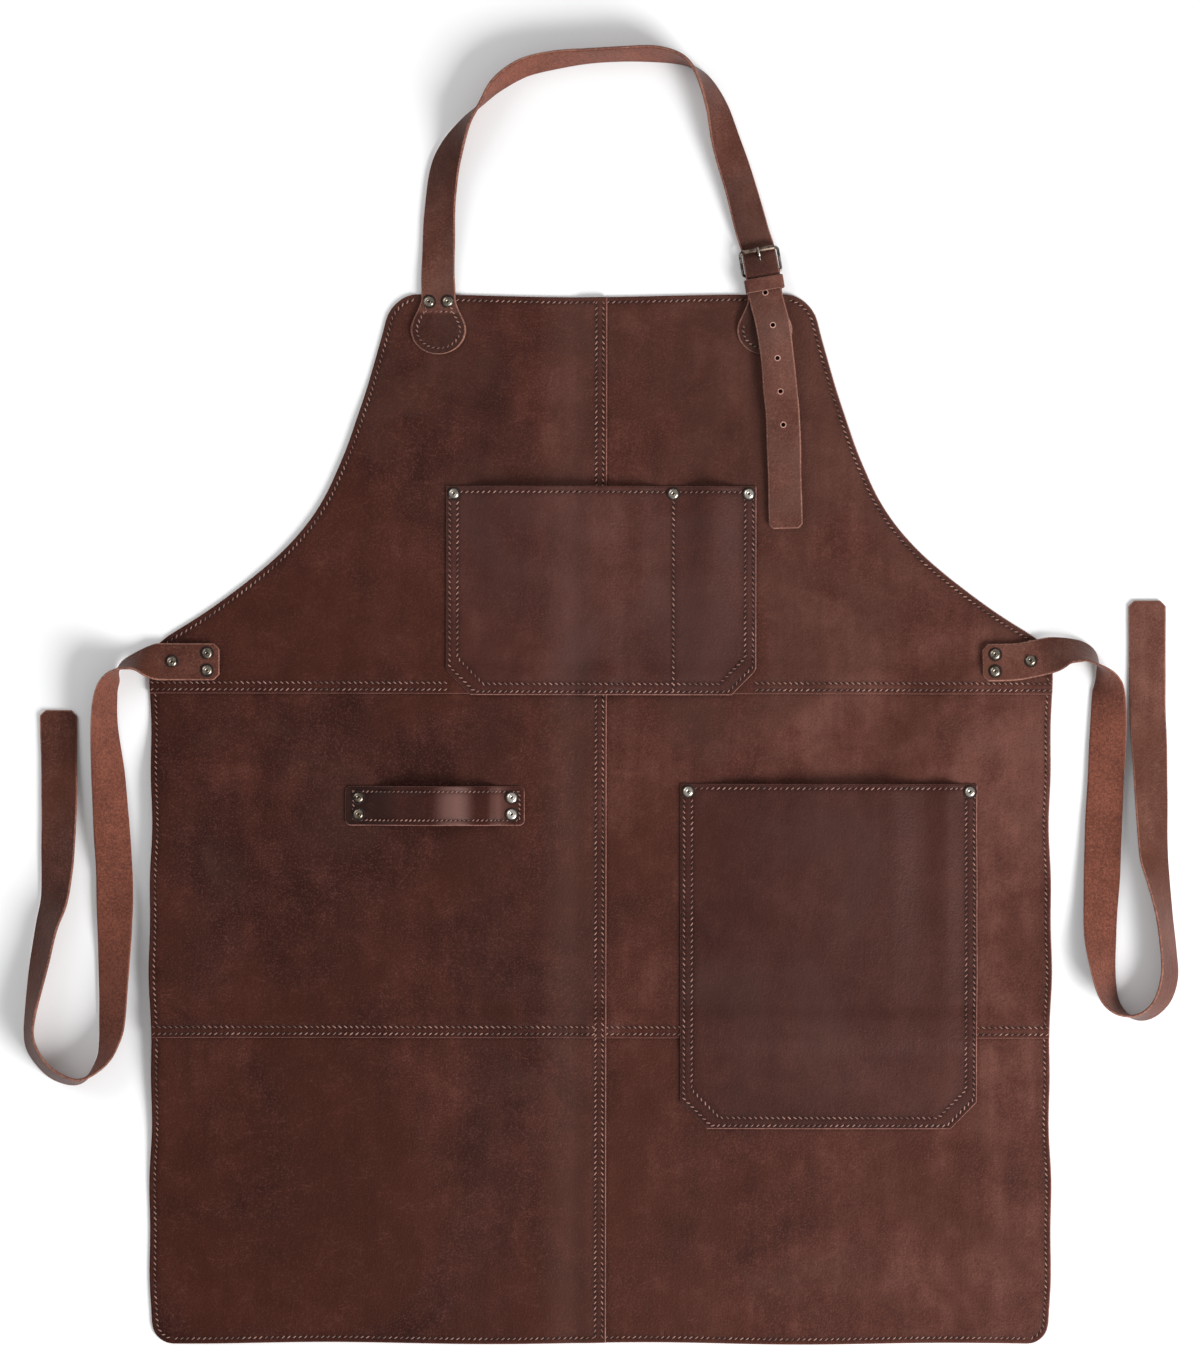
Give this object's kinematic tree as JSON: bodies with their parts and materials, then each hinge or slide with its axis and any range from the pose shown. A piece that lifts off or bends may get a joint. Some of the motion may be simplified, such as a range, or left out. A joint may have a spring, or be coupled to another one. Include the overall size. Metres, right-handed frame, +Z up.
{
  "type": "leather blacksmith apron",
  "caption": "Bib apron of heavy brown leather, lying flat, with a buckled neck strap, waist ties, riveted pockets and a tool loop.",
  "frame": {"origin": "on the ground, where the waist seam meets the middle of the body, at the middle of the object as it lies", "axes": "+Y from the hem to the bib, +X to the right of the apron as it is seen from its grain side, +Z up"},
  "size_m": [0.8663, 0.9715, 0.0285],
  "materials": {
    "body_leather": "oiled pull-up leather, satin, darker and redder towards the left",
    "pocket_leather": "the body's leather, satin, slightly worn",
    "strap_leather": "thicker strap leather, satin grain side and rough reddish flesh side",
    "buckle_steel": "darkened steel, worn bright on its edges",
    "rivet_brass": "antique brass, dark in the dimple"
  },
  "bodies": {
    "root": {"bib_left": "body_leather", "bib_right": "body_leather", "mid_left": "body_leather", "mid_right": "body_leather", "low_left": "body_leather", "low_right": "body_leather", "bib_pocket": "pocket_leather", "hip_pocket": "pocket_leather", "tool_loop": "pocket_leather", "neck_strap": "strap_leather", "buckle_strap": "strap_leather", "keeper_loop": "strap_leather", "waist_tie_left": "strap_leather", "waist_tie_right": "strap_leather", "buckle_frame": "buckle_steel", "buckle_roller": "buckle_steel", "buckle_prong": "buckle_steel", "rivet_neck_left_1": "rivet_brass", "rivet_neck_left_2": "rivet_brass", "rivet_neck_right_1": "rivet_brass", "rivet_neck_right_2": "rivet_brass", "rivet_bib_pocket_1": "rivet_brass", "rivet_bib_pocket_2": "rivet_brass", "rivet_bib_pocket_3": "rivet_brass", "rivet_hip_pocket_1": "rivet_brass", "rivet_hip_pocket_2": "rivet_brass", "rivet_tool_loop_1": "rivet_brass", "rivet_tool_loop_2": "rivet_brass", "rivet_tool_loop_3": "rivet_brass", "rivet_tool_loop_4": "rivet_brass", "rivet_tie_left_1": "rivet_brass", "rivet_tie_left_2": "rivet_brass", "rivet_tie_left_3": "rivet_brass", "rivet_tie_right_1": "rivet_brass", "rivet_tie_right_2": "rivet_brass", "rivet_tie_right_3": "rivet_brass"}
  },
  "joints": []
}
